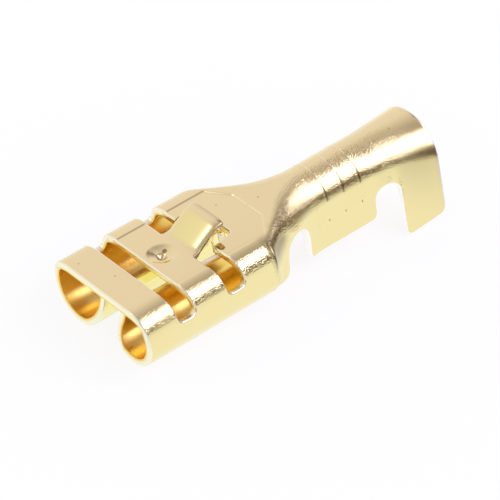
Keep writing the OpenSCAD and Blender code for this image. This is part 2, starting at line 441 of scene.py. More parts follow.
@dataclass(frozen=True)
class Neck:
    """The stretch that narrows from the rolls to the round barrel."""

    length: float = 4.5
    power: float = 1.55
    rounding: float = 0.5
    round_share: float = 0.8
    wall: float = 1.3
    notch: float = 10.2
    notch_radius: float = 1.0
    notch_top: float = 1.5
    corner: float = 0.35
    unroll: float = 1.3
    pinch: float = 0.4
    splay: float = 11.0
    fold: float = 0.62
    fold_start: float = 7.5
    fold_in: float = 0.7
    fold_end: float = 10.4
    fold_out: float = 1.7

    def folded(self, x: Array) -> Array:
        """Return how far a section has the neck's own sharper folds, from 0 to 1."""
        start = ease((x - self.fold_start) / self.fold_in)
        return start * ease((self.fold_end - x) / self.fold_out)

    def unrolled(self, x: Array) -> Array:
        """Return how straight the walls behind the rolls have become."""
        return ease((x - self.fold_start) / self.unroll)


@dataclass(frozen=True)
class WireBarrel:
    """The open barrel that is crimped on the bare wire."""

    radius: float = 1.45
    crown: float = 0.18
    crown_start: float = 1.4
    wing_depth: float = 3.85
    wing_end: float = 15.65
    corner: float = 0.35
    serrations: int = 3
    first_serration: float = 12.62
    pitch: float = 1.05
    rib: float = 0.018
    rib_width: float = 0.07
    rib_fall: float = 2.2
    rib_end: Range = (2.35, 0.4)
    groove: float = 0.1
    groove_width: float = 0.22
    groove_soft: float = 0.03
    groove_end: Range = (2.3, 0.3)

    def places(self) -> list[float]:
        """Return where the serrations are."""
        return [self.first_serration + i * self.pitch for i in range(self.serrations)]

    def ribs(self, x: Array, s: Array) -> Array:
        """Return how far the fine ribs stand out of the outer face."""
        end, soft = self.rib_end
        rows = [
            np.exp(-(((x - at) / self.rib_width) ** 2) * self.rib_fall)
            for at in self.places()
        ]
        return (1.0 - ease((s - end) / soft)) * self.rib * sum(rows)

    def grooves(self, x: Array, s: Array) -> Array:
        """Return how deep the serrations are cut in the inner face."""
        end, soft = self.groove_end
        start = self.groove_width / 2 - self.groove_soft
        rows = [
            1.0 - ease((np.abs(x - at) - start) / (2 * self.groove_soft))
            for at in self.places()
        ]
        return (1.0 - ease((s - end) / soft)) * self.groove * sum(rows)


@dataclass(frozen=True)
class InsulationBarrel:
    """The flared barrel that is crimped on the insulation."""

    start: float = 16.2
    end: float = 19.2
    soft: float = 0.16
    mouth_radius: float = 2.15
    wing: float = 16.95
    wing_depth: float = 5.5
    slant: float = 0.7
    lean: float = 0.4
    lean_rate: float = 4.0
    notch_top: float = 2.2
    notch_corner: float = 0.45
    corner: float = 0.35

    def flare(self, x: Array) -> Array:
        """Return how far the barrel has opened, from 0 to 1."""
        t = np.clip((x - self.start) / (self.end - self.start), 0.0, 1.0)
        soft = self.soft
        return np.where(t < soft, t * t / (2 * soft), t - soft / 2) / (1 - soft / 2)


@dataclass
class FoldedStrip:
    """Where each point of the flat blank lies on the folded part.

    A point of the blank is x, its distance from the mouth, and s, its distance
    from the centre line along the outer face. The strip's own frame has z = 0 at
    the outer face of the plate.
    """

    sheet: Sheet = field(default_factory=Sheet)
    receptacle: Receptacle = field(default_factory=Receptacle)
    slots: Slots = field(default_factory=Slots)
    lance: Lance = field(default_factory=Lance)
    dimple: Dimple = field(default_factory=Dimple)
    coined: CoinedPlate = field(default_factory=CoinedPlate)
    neck: Neck = field(default_factory=Neck)
    wire: WireBarrel = field(default_factory=WireBarrel)
    insulation: InsulationBarrel = field(default_factory=InsulationBarrel)

    def outline_half(self, x: Array) -> Array:
        """Return the half width of the folded strip at x."""
        along = np.maximum(0.0, x - self.receptacle.length)
        soft = self.neck.rounding
        eased = np.where(along < soft, along * along / (2 * soft), along - soft / 2)
        drawn = np.clip(eased / (self.neck.length - soft / 2), 0.0, 1.0)
        share = np.power(1.0 - drawn, self.neck.power)
        return mixed(self.wire.radius, self.receptacle.width / 2, share)

    def crown(self, x: Array) -> Array:
        """Return the height of the middle of the section."""
        wait = self.wire.crown_start
        start = self.receptacle.length + wait
        return self.wire.crown * ease((x - start) / (self.neck.length - wait))

    def section(self, x: Array) -> list[tuple[Any, Any]]:
        """Give the stretches of the half section at each x.

        Args:
            x: Distances from the mouth.

        Returns:
            The length and the turn per millimetre of each stretch.
        """
        rec, neck, wire, ins = self.receptacle, self.neck, self.wire, self.insulation
        share = ease((x - rec.length) / (neck.length * neck.round_share))
        folded, open_, straight = neck.folded(x), ins.flare(x), 1 - neck.unrolled(x)
        onset_turn = math.radians(rec.onset.turn)
        knee_turn = onset_turn + math.radians(rec.shoulder.turn)
        rest_turn = math.pi / 2 - knee_turn
        one, two = math.cos(onset_turn), math.cos(knee_turn)
        drops = (1 - one, one - two, two)
        plain = [
            mixed(bend.radius, wire.radius, share)
            for bend in (rec.onset, rec.shoulder, rec.flank)
        ]
        sharp = [mixed(radius, neck.fold, folded) for radius in plain]
        wall = sum(a * b for a, b in zip(plain, drops)) - sum(
            a * b for a, b in zip(sharp, drops)
        )
        radius = mixed(wire.radius, ins.mouth_radius, open_)
        onset, knee, upper = (np.where(x > ins.start, radius, r) for r in sharp)
        depth = ins.wing_depth + wire.crown - radius
        lean = np.arctan2(ins.lean * ease(open_ * ins.lean_rate), depth)
        lean = lean + math.radians(neck.splay) * folded
        flat = np.maximum(
            0.0,
            self.outline_half(x)
            - neck.pinch * folded
            - onset * math.sin(onset_turn)
            - knee * (math.sin(knee_turn) - math.sin(onset_turn))
            - upper * (1 - math.sin(knee_turn)),
        )
        return [
            (np.where(x > ins.start, 0.0, flat), 0.0),
            (onset * onset_turn, 1.0 / onset),
            (knee * (knee_turn - onset_turn), 1.0 / knee),
            (upper * (rest_turn - lean), 1.0 / upper),
            (wall, 0.0),
            (rec.flank.length - rec.flank.radius * rest_turn, straight / rec.flank.radius),
            (rec.belly.length, straight / rec.belly.radius),
            (rec.lip.length, np.where(x <= rec.length, 1.0 / rec.lip.radius, 0.0)),
            (ENDLESS, 0.0),
        ]

    def plain(self, x: Array, s: Array) -> Array:
        """Carry points of the blank to the outer face, without pressed details.

        Args:
            x: Distances from the mouth.
            s: Distances from the centre line along the sheet.

        Returns:
            The points, one row each.
        """
        y, z, _ = walk(np.zeros_like(x), self.crown(x), s, self.section(x))
        return np.stack([x, y, z], axis=1)

    def drawn_tongue(self) -> float:
        """Return the length at which the lance is drawn on the blank."""
        whole = self.slots.second_length + self.lance.window_length
        return whole - self.lance.drawn_short

    def tongue_half(self, x: Array) -> Array:
        """Return the half width at which the blank of the lance is drawn."""
        room = self.window_half(x) - self.lance.drawn_gap
        return np.minimum(self.lance.width / 2, room)

    def window_half(self, x: Array) -> Array:
        """Return the half width of the window that the lance leaves."""
        back = self.slots.span(1)[1]
        share = np.clip((x - back) / self.lance.window_length, 0.0, 1.0)
        side = self.lance.width / 2 + self.lance.window_gap
        return side - share * self.lance.window_taper / 2

    def tongue(self, x: Array, s: Array) -> Array:
        """Carry points of the blank's lance to its upper face.

        Args:
            x: Distances from the mouth, as drawn.
            s: Distances from the centre line, as drawn.

        Returns:
            The points, one row each.
        """
        lance, root = self.lance, self.slots.second
        along = (x - root) * lance.length(self.sheet) / self.drawn_tongue()
        start = np.full_like(x, root)
        stretches = lance.stretches(self.sheet)
        px, pz, heading = walk(start, np.zeros_like(x), along, stretches)
        y = s * (lance.width / 2 / self.tongue_half(x))
        off = np.clip(np.abs(y) / (lance.width / 2), 0.0, 1.1)
        droop = ease(along / lance.droop_start) * lance.droop * off**lance.droop_power
        px = px + droop * np.sin(heading)
        pz = pz - droop * np.cos(heading)
        return np.stack([px, y, pz], axis=1)

    def on_tongue(self, x: Array, s: Array) -> Array:
        """Return which points of the blank belong to the lance."""
        reach = self.lance.drawn_reach
        back = self.slots.span(1)[1] + self.lance.window_length
        held = (x > self.slots.second) & (x < back - reach)
        return held & (s < self.tongue_half(x) + reach)

    def swell(self, x: Array, s: Array, lance: Array, face: Face) -> Array:
        """Find how far a face stands out from the plain sheet.

        Args:
            x: Distances from the mouth.
            s: Distances from the centre line.
            lance: Which points belong to the lance.
            face: Which face is meant.

        Returns:
            The heights along the outer face's normal.
        """
        if face is Face.INNER:
            return self.wire.grooves(x, s) - np.where(lance, 0.0, self.dimple.bump(x, s))
        pressed = self.coined.drop(x, s) + self.dimple.pit(x, s)
        return self.wire.ribs(x, s) - np.where(lance, self.coined.depth, pressed)

    def skin(self, x: Array, s: Array, lance: Array) -> tuple[Array, Array]:
        """Find points and outward normals of the plain outer face.

        Args:
            x: Distances from the mouth.
            s: Distances from the centre line along the sheet.
            lance: Which points belong to the lance.

        Returns:
            The points and the unit normals.
        """

        def at(dx: float, ds: float) -> Array:
            """Return the points a little further on."""
            tongue, plain = self.tongue(x + dx, s + ds), self.plain(x + dx, s + ds)
            return np.where(lance[:, None], tongue, plain)

        e = 2e-3
        normal = np.cross(at(e, 0) - at(-e, 0), at(0, e) - at(0, -e))
        return at(0, 0), unit(normal)

    def place(self, x: Array, s: Array, lance: Array, depth: Array) -> Array:
        """Carry points of the blank to the folded part.

        Args:
            x: Distances from the mouth.
            s: Distances from the centre line.
            lance: Which points belong to the lance.
            depth: How deep each point is in the sheet.

        Returns:
            The points, one row each.
        """
        point, normal = self.skin(x, s, lance)
        share = np.clip(depth / self.sheet.thickness, 0.0, 1.0)
        outer = self.swell(x, s, lance, Face.OUTER)
        inner = self.swell(x, s, lance, Face.INNER)
        return point + normal * (mixed(outer, inner, share) - depth)[:, None]

    def bend_amount(self, x: Array, s: Array, lance: Array) -> Array:
        """Find how strongly the sheet is bent.

        Args:
            x: Distances from the mouth.
            s: Distances from the centre line.
            lance: Which points belong to the lance.

        Returns:
            The turn per millimetre at each point, at most 1.2.
        """
        step = 0.05
        _, here = self.skin(x, s, lance)
        total = np.zeros_like(x)
        for dx, ds in ((0.0, step), (step, 0.0)):
            _, there = self.skin(x + dx, s + ds, lance)
            total += np.arccos(np.clip((here * there).sum(1), -1, 1))
        return np.clip(total / step, 0.0, 1.2)

    def length_at(self, x: Array, level: Array, rising: bool = False) -> Array:
        """Find how far along the section the outer face passes a level.

        Args:
            x: Distances from the mouth.
            level: The level looked for at each x.
            rising: True for the inner wall of a roll, past its lowest point.

        Returns:
            The distances from the centre line along the sheet.
        """
        s = np.arange(0.0, self.receptacle.half_length + 0.01, 0.01)
        out = np.zeros(len(x))
        for i, (here, wanted) in enumerate(zip(x, level)):
            z = self.plain(np.full_like(s, here), s)[:, 2]
            part = slice(int(np.argmin(z)), None, 1 if rising else -1)
            out[i] = np.interp(wanted, z[part], s[part])
        return out


# ---------------------------------------------------------------- the flat blank


@dataclass
class Blank:
    """The right half of the stamped blank, from its centre line outwards."""

    strip: FoldedStrip
    rim_step: float = 0.11
    opening_step: float = 0.09
    slot_step: float = 0.1

    def heights(self, s: Array) -> Array:
        """Return how high the rolls' outer face is at each distance along it."""
        return self.strip.plain(np.zeros_like(s), s)[:, 2]

    def level(self, height: float, rising: bool = False) -> float:
        """Return how far along the rolls' outer face a height is."""
        found = self.strip.length_at(np.zeros(1), np.array([height]), rising)
        return float(found[0])

    def rim(self) -> Array:
        """Return the outer edge, from the mouth's centre to the rear's centre."""
        rec, neck = self.strip.receptacle, self.strip.neck
        end = rec.half_length
        top, widest = (float(h) for h in self.heights(np.array([end, rec.side])))
        lead_z = top - rec.lead_in_height
        lead_s = self.level(lead_z, rising=True)
        rise_s = np.linspace(lead_s, end, 24)
        risen = (self.heights(rise_s) - lead_z) / rec.lead_in_height
        rise = paired(rec.lead_in * np.clip(risen, 0, 1), rise_s)
        front = np.concatenate([[(0.0, 0.0), (0.0, lead_s)], rise[1:-2]])

        edge = neck.wall - widest
        deepest = -float(self.heights(np.linspace(0, end, 1200)).min())
        inner_s = self.level(-edge, rising=True)
        cut_s = np.linspace(inner_s, self.level(-edge), 26)
        span = deepest + rec.cut_clear - edge
        share = np.clip((-self.heights(cut_s) - edge) / span, 0, 1)
        cut = paired(rec.length - rec.cut_back * share, cut_s)
        rolls = filleted(
            [
                (*front[-1], 0.0),
                (rise[-1, 0], end, rec.corner),
                (rec.length, end, rec.corner),
                (rec.length, inner_s + rec.cut_lead, 0.0),
            ]
        )
        side = self.side(edge)
        tail = paired(side[:, 0], self.strip.length_at(side[:, 0], -side[:, 1]))
        rear = [(self.strip.insulation.end, 0.0)]
        whole = np.concatenate([front[:-1], rolls, cut[:-1], tail, rear])
        return dense(whole, self.rim_step)

    def side(self, edge: float) -> Array:
        """Draw the edge behind the rolls as it is seen from the side.

        Args:
            edge: Depth of the edge right behind the rolls.

        Returns:
            The points, as distance from the mouth and depth.
        """
        strip = self.strip
        neck, wire, ins = strip.neck, strip.wire, strip.insulation
        wire_round, ins_round = wire.corner * ROUNDING, ins.corner * ROUNDING
        notch_round = ins.notch_corner * ROUNDING
        turn = np.linspace(0.0, math.pi, 17)
        arch = paired(
            neck.notch - neck.notch_radius * np.cos(turn),
            neck.notch_top + neck.notch_radius * (1 - np.sin(turn)),
        )
        (front, front_top), (back, back_top) = arch[0], arch[-1]
        fall = filleted(
            [
                (strip.receptacle.length, edge, 0.0),
                (front, edge, neck.corner),
                (front, front_top, 0.0),
            ]
        )
        wings = filleted(
            [
                (back, back_top, 0.0),
                (back, wire.wing_depth, wire_round),
                (wire.wing_end, wire.wing_depth, wire_round),
                (wire.wing_end, ins.notch_top, notch_round),
                (ins.wing, ins.notch_top, notch_round),
                (ins.wing, ins.wing_depth, ins_round),
                (ins.end, ins.wing_depth - ins.slant, ins_round),
                (ins.end, 3.0, 0.0),
            ]
        )
        return dense(np.concatenate([fall[:-1], arch[1:-1], wings]), 0.1)

    def opening(self) -> Array:
        """Return the edge of the second slot, the window and the lance."""
        strip, lance = self.strip, self.strip.lance
        front, back = strip.slots.span(1)
        foot = self.level(-strip.slots.drop)
        cut = strip.slots.corner * SLOT_ROUNDING
        rear, half = back + lance.window_length, lance.width / 2
        tip = front + strip.drawn_tongue()
        back_half, tip_half = (float(h) for h in strip.tongue_half(np.array([back, tip])))
        line = filleted(
            [
                (rear, 0.0, 0.0),
                (rear, float(strip.window_half(np.array([rear]))[0]), 0.16),
                (back + 0.02, half + lance.window_gap, 0.12),
                (back, half + 0.2, 0.1),
                (back, foot, cut),
                (front, foot, cut),
                (front, half - 0.01, 0.09),
                (back, back_half, 0.3),
                (tip, tip_half, 0.12),
                (tip, 0.0, 0.0),
            ]
        )
        return dense(line, self.opening_step)

    def first_slot(self) -> Array:
        """Return the edge of the first slot, from rear to front."""
        slots = self.strip.slots
        front, back = slots.span(0)
        foot, cut = self.level(-slots.drop), slots.corner * SLOT_ROUNDING
        corners = [(back, 0.0, 0.0), (back, foot, cut), (front, foot, cut)]
        return dense(filleted([*corners, (front, 0.0, 0.0)]), self.slot_step)


@dataclass
class StripMesh:
    """Meshes the blank and folds it."""

    strip: FoldedStrip = field(default_factory=FoldedStrip)
    rib_rows: tuple[float, ...] = (0.035, 0.07, 0.11, 0.16)
    rib_clear: float = 0.21
    rib_half: float = 2.8
    coined_rows: tuple[float, ...] = (-0.08, -0.04, -0.013, 0.013, 0.04, 0.08)
    coined_clear: float = 0.11
    dimple_clear: float = 0.93
    dimple_step: float = 0.045
    edge_clear: float = 0.45

    def edge_profile(self) -> list[Range]:
        """Return the rounded shear edge as inset and depth, from outer to inner face."""
        sheet = self.strip.sheet
        t, r, b = sheet.thickness, sheet.shear_round, sheet.burr_round
        turn = [math.radians(a) for a in (0, 15, 30, 45, 60, 75, 90)]
        upper = [(r * (1 - math.sin(a)), r * (1 - math.cos(a))) for a in turn]
        lower = [(b * (1 - math.sin(a)), t - b * (1 - math.cos(a))) for a in turn[:1:-1]]
        return upper + [(0.0, t * sheet.burr_start)] + lower[:-1] + [(b, t), (r, t)]

    def filling(self, loop: Array) -> Array:
        """Fill the blank inside its edge, finely where something is pressed in it.

        Args:
            loop: The edge.

        Returns:
            The points.
        """
        h = self.strip.sheet.spacing
        dimple, coined = self.strip.dimple, self.strip.coined
        lo, hi = loop.min(0), loop.max(0)
        rows = [
            paired(np.arange(lo[0] + (k % 2) * h / 2, hi[0], h), s)
            for k, s in enumerate(np.arange(h * 0.9, hi[1], h * 0.87))
        ]
        points = np.concatenate(rows)
        fine: list[Array] = []
        offsets = (*(-o for o in reversed(self.rib_rows)), 0.0, *self.rib_rows)
        for middle in self.strip.wire.places():
            band = np.abs(points[:, 0] - middle) > self.rib_clear
            points = points[band | (points[:, 1] > self.rib_half)]
            s = np.arange(0.11, self.rib_half, 0.11)
            fine.extend(paired(middle + off, s) for off in offsets)
        away = np.hypot(points[:, 0] - dimple.place, points[:, 1])
        points = points[away > self.dimple_clear]
        away = np.abs(coined.outside(points[:, 0], points[:, 1]))
        points = points[away > self.coined_clear]
        line = dense(coined.edge(), 0.1)
        step = unit(np.gradient(line, axis=0))
        out = paired(-step[:, 1], step[:, 0])
        fine.extend(line[:-1] + out[:-1] * off for off in self.coined_rows)
        for radius in np.arange(0.05, 0.92, self.dimple_step):
            count = max(6, round(math.pi * radius / 0.05))
            a = (np.arange(count) + 0.5) / count * math.pi
            fine.append(paired(dimple.place + radius * np.cos(a), radius * np.sin(a)))
        points = np.concatenate([points] + fine)
        points = points[inside(points, loop)]
        keep = np.ones(len(points), bool)
        for start in range(0, len(points), 2000):
            part = points[start : start + 2000]
            gap = np.linalg.norm(part[:, None] - loop[None], axis=2).min(1)
            keep[start : start + 2000] = gap > h * self.edge_clear
        return points[keep]

    def flat(self, insets: list[Array]) -> tuple[Array, Faces, list[list[int]]]:
        """Mesh the flat face inside its inset edges.

        Args:
            insets: The inset edges, each from the centre line back to it.

        Returns:
            The points, the triangles and, for each edge, the points along it.
        """
        loop: list[Array] = []
        starts: list[int] = []
        for n, inset in enumerate(insets):
            starts.append(len(loop))
            loop.extend(inset)
            following = insets[(n + 1) % len(insets)]
            loop.extend(dense([inset[-1], following[0]], self.strip.sheet.spacing)[1:-1])
        ring = np.array(loop)
        given = [Vector(p) for p in np.concatenate([ring, self.filling(ring)])]
        made = delaunay_2d_cdt(given, [], [list(range(len(ring)))], 1, 1e-7, True)
        points = np.array([list(v) for v in made[0]])
        tris = [tuple(f) for f in made[2]]
        centres = np.array([points[list(f)].mean(0) for f in tris])
        tris = [f for f, keep in zip(tris, inside(centres, ring)) if keep]
        origin = {o: i for i, group in enumerate(made[3]) for o in group}
        edges = [
            [origin[start + i] for i in range(len(inset))]
            for start, inset in zip(starts, insets)
        ]
        return points, tris, edges

    def half(self) -> tuple[Array, Faces, dict[str, Array]]:
        """Mesh one half of the folded strip.

        Returns:
            The points in millimetres, the faces, and what each point is like.
        """
        blank, sheet = Blank(self.strip), self.strip.sheet
        runs = [blank.rim(), blank.opening(), blank.first_slot()]
        for run in runs:
            run[0, 1] = run[-1, 1] = 0.0
        turns = [inward(run) for run in runs]
        insets = [run + turn * sheet.shear_round for run, turn in zip(runs, turns)]
        for inset in insets:
            inset[0, 1] = inset[-1, 1] = 0.0
        flat, tris, edges = self.flat(insets)
        count = len(flat)
        points = [(*p, 0.0, 0.0) for p in flat]
        points += [(*p, sheet.thickness, 0.0) for p in flat]
        faces = tris + [tuple(i + count for i in reversed(f)) for f in tris]
        steps = self.edge_profile()[1:-1]
        for run, turn, tops in zip(runs, turns, edges):
            columns: list[list[int]] = []
            for top, point, to in zip(tops, run, turn):
                first = len(points)
                at_end = top in (tops[0], tops[-1])
                for inset, deep in steps:
                    x, s = point + to * inset
                    points.append((x, 0.0 if at_end else s, deep, 1.0))
                columns.append([top, *range(first, len(points)), top + count])
            for left, right in zip(columns[:-1], columns[1:]):
                for k in range(len(left) - 1):
                    faces.append((left[k], left[k + 1], right[k + 1], right[k]))
        x, s, depth, shear = np.array(points).T
        s = np.maximum(s, 0.0)
        lance = self.strip.on_tongue(x, s)
        traits = {
            "blank": np.stack([x, s, depth], axis=1),
            "bend": self.strip.bend_amount(x, s, lance),
            "shear": shear,
            "lance": lance.astype(float),
            # Where the painted highlight lies along the coined edge.
            "worn": self.strip.coined.worn(x, s, depth),
        }
        return self.strip.place(x, s, lance, depth), faces, traits


# ---------------------------------------------------------------- shader writing


def operator(operation: str, reflected: bool = False) -> Callable[..., Signal]:
    """Make one operator of Signal.

    Args:
        operation: What its Math node does.
        reflected: True where the signal stands on the right.

    Returns:
        The method.
    """

    def method(self: Signal, other: Any = None) -> Signal:
        """Add the Math node."""
        pair = (other, self) if reflected else (self, other)
        node = self.graph.node("ShaderNodeMath", {"operation": operation}, *pair)
        return Signal(self.graph, node.outputs[0])

    return method


class Signal:
    """A number in a shader, which adds its own Math nodes in an expression."""

    __add__, __radd__ = operator("ADD"), operator("ADD", True)
    __sub__, __rsub__ = operator("SUBTRACT"), operator("SUBTRACT", True)
    __mul__, __rmul__ = operator("MULTIPLY"), operator("MULTIPLY", True)
    __truediv__, __rtruediv__ = operator("DIVIDE"), operator("DIVIDE", True)
    __pow__, __rpow__ = operator("POWER"), operator("POWER", True)
    least, most = operator("MINIMUM"), operator("MAXIMUM")
    rounded, size = operator("ROUND"), operator("ABSOLUTE")
    angle = operator("ARCTAN2")

    def __init__(self, graph: Graph, socket: Any) -> None:
        """Keep the graph and the socket.

        Args:
            graph: The graph that the socket belongs to.
            socket: An output socket that carries a number.
        """
        self.graph = graph
        self.socket = socket

    def bell(self, centre: float, width: float) -> Signal:
        """1 at the centre, falling off smoothly on both sides."""
        off = (self - centre) * (1 / width)
        return math.e ** (off * off * -1.0)

    def step(self, low: float, high: float) -> Signal:
        """Smooth step from 0 at low to 1 at high.

        Args:
            low: Value at which the step starts.
            high: Value at which it ends, which may be below low.

        Returns:
            The step.
        """
        bounds = (low, high, 0.0, 1.0) if low < high else (high, low, 1.0, 0.0)
        settings = {"interpolation_type": "SMOOTHSTEP"}
        node = self.graph.node("ShaderNodeMapRange", settings, self, *bounds)
        return Signal(self.graph, node.outputs[0])

    def within(self, rise: Range, fall: Range) -> Signal:
        """1 between two smooth steps."""
        return self.step(*rise) * self.step(*fall)


class Graph:
    """The nodes of one material or of the world."""

    def __init__(self, tree: Any) -> None:
        """Take a node tree and empty it.

        Args:
            tree: The node tree to write in.
        """
        self.tree = tree
        tree.nodes.clear()

    def node(self, kind: str, settings: dict[str, Any], *values: Any, **named: Any) -> Any:
        """Add a node.

        Args:
            kind: The node's type.
            settings: Its properties, which are set first.
            *values: Values or links of its inputs, in order. None leaves one alone.
            **named: Values or links of inputs by name, with _ for a space.

        Returns:
            The node.
        """
        made = self.tree.nodes.new(kind)
        for key, value in settings.items():
            setattr(made, key, value)
        pairs = [(made.inputs[i], v) for i, v in enumerate(values) if v is not None]
        pairs += [(made.inputs[k.replace("_", " ")], v) for k, v in named.items()]
        for socket, value in pairs:
            source = value.socket if isinstance(value, Signal) else value
            if isinstance(source, bpy.types.NodeSocket):
                self.tree.links.new(source, socket)
            else:
                socket.default_value = source
        return made

    def mix(self, share: Any, low: Any, high: Any) -> Any:
        """Mix two colours.

        Args:
            share: How much of the second colour, from 0 to 1.
            low: The first colour.
            high: The second colour.

        Returns:
            The colour socket.
        """
        skipped = (None,) * 5
        settings = {"data_type": "RGBA"}
        made = self.node("ShaderNodeMix", settings, share, *skipped, low, high)
        return made.outputs[2]

    def coats(self, base: Colour, layers: Sequence[tuple[Any, Colour]]) -> Any:
        """Lay colours over each other.

        Args:
            base: The colour below.
            layers: The share and the colour of each layer, in order.

        Returns:
            The colour socket.
        """
        tone: Any = rgba(*base)
        for share, colour in layers:
            tone = self.mix(share, tone, rgba(*colour))
        return tone

    def vector(self, operation: str, *values: Any) -> Any:
        """Add a Vector Math node and return its vector socket."""
        settings = {"operation": operation}
        return self.node("ShaderNodeVectorMath", settings, *values).outputs[0]

    def length(self, vector: Any) -> Signal:
        """Return the length of a vector."""
        made = self.node("ShaderNodeVectorMath", {"operation": "LENGTH"}, vector)
        return Signal(self, made.outputs["Value"])

    def parts(self, vector: Any) -> tuple[Signal, Signal, Signal]:
        """Split a vector into three numbers."""
        made = self.node("ShaderNodeSeparateXYZ", {}, vector)
        x, y, z = (Signal(self, out) for out in made.outputs)
        return x, y, z

    def noise(self, where: Any, scale: float, detail: float) -> Signal:
        """Return a noise value, about 0.5 on average."""
        named = {"Vector": where, "Scale": scale, "Detail": detail}
        return Signal(self, self.node("ShaderNodeTexNoise", {}, **named).outputs[0])

    def trait(self, name: str) -> Signal:
        """Return a number that the mesh carries at each point."""
        made = self.node("ShaderNodeAttribute", {"attribute_name": name})
        return Signal(self, made.outputs["Fac"])

    def rays(self, *kinds: str) -> Signal:
        """Return 1 for light paths of any of the kinds, else 0."""
        path = self.node("ShaderNodeLightPath", {})
        found, *others = (Signal(self, path.outputs[kind]) for kind in kinds)
        for other in others:
            found = found.most(other)
        return found


def rgba(red: float, green: float, blue: float) -> tuple[float, float, float, float]:
    """Return a colour with full alpha."""
    return red, green, blue, 1.0


def new_material(name: str) -> tuple[bpy.types.Material, Graph]:
    """Make an empty material and the graph of its nodes."""
    material = bpy.data.materials.new(name)
    material.use_nodes = True
    return material, Graph(material.node_tree)


# ---------------------------------------------------------------- finishes


class SheetPoint:
    """What the brass shader reads of a point of the sheet."""

    inner_depth: Range = (0.2, 0.36)
    bent_from: Range = (0.55, 0.8)

    def __init__(self, graph: Graph) -> None:
        """Read the point's place on the blank and its state.

        Args:
            graph: The graph of the material.
        """
        blank = graph.node("ShaderNodeAttribute", {"attribute_name": "blank"})
        self.graph = graph
        self.where = blank.outputs["Vector"]
        self.x, self.y, depth = graph.parts(self.where)
        self.s = self.y.size()
        self.inner = depth.step(*self.inner_depth)
        self.outer = 1.0 - self.inner
        self.bent = graph.trait("bend").step(*self.bent_from)
        self.shear = graph.trait("shear")
        self.lance = graph.trait("lance")
        self.worn = graph.trait("worn")
        self.cloud = graph.noise(self.where, 0.9, 2.0)
        self.fine = graph.noise(self.where, 34.0, 1.0)

    def near(self, x: float, y: float) -> Signal:
        """Return the distance on the blank from a spot, in millimetres."""
        flat = self.graph.vector("MULTIPLY", self.where, (1.0, 1.0, 0.0))
        return self.graph.length(self.graph.vector("SUBTRACT", flat, (x, y, 0.0)))


@dataclass(frozen=True)
class SerrationLines:
    """The fine lines that the serrations print through to the barrel's back, with painted
    highlight and painted shade along them.
    """

    first: float = 12.62
    pitch: float = 1.05
    last: float = 2.0
    far_side: float = 0.35
    # Offsets and widths across the lines of the painted highlight (shine, hook) and the
    # painted shade (shade, faint, tick).
    shine: Range = (0.0, 0.035)
    shade: Range = (0.02, 0.055)
    faint: Range = (-0.23, 0.03)
    tick: Range = (0.03, 0.045)
    tick_place: Range = (3.27, 0.06)
    hook: Range = (-0.07, 0.03)
    hook_place: Range = (3.33, 0.1)

    def read(self, at: SheetPoint) -> tuple[Signal, Signal, Signal]:
        """Find where the lines get painted highlight and painted shade, and where they are
        pricked in.

        Args:
            at: The point of the sheet.

        Returns:
            The painted highlight share, the painted shade share, and the pricks alone.
        """
        s = at.s
        number = ((at.x - self.first) / self.pitch).rounded().most(0.0).least(self.last)
        off = at.x - self.first - number * self.pitch
        near = at.y.step(0.15, -0.1) * (1 - self.far_side) + self.far_side
        near = near * at.outer
        # shine and hook are painted highlight; shade, faint and the tick's dark dot are
        # painted shade. The tick is also pressed in by the relief.
        shine = off.bell(*self.shine) * s.step(1.25, 0.95) * near
        shade = off.bell(*self.shade) * s.within((0.85, 1.15), (2.2, 2.05)) * near
        faint = off.bell(*self.faint) * s.within((0.9, 1.3), (2.1, 1.9)) * near
        tick = off.bell(*self.tick) * s.bell(*self.tick_place) * at.outer
        hook = off.bell(*self.hook) * s.bell(*self.hook_place) * at.outer
        dark = shade * 0.8 + faint * number.least(1.0) * 0.35 + tick * 0.8
        return shine * 0.7 + hook * 0.5, dark, tick


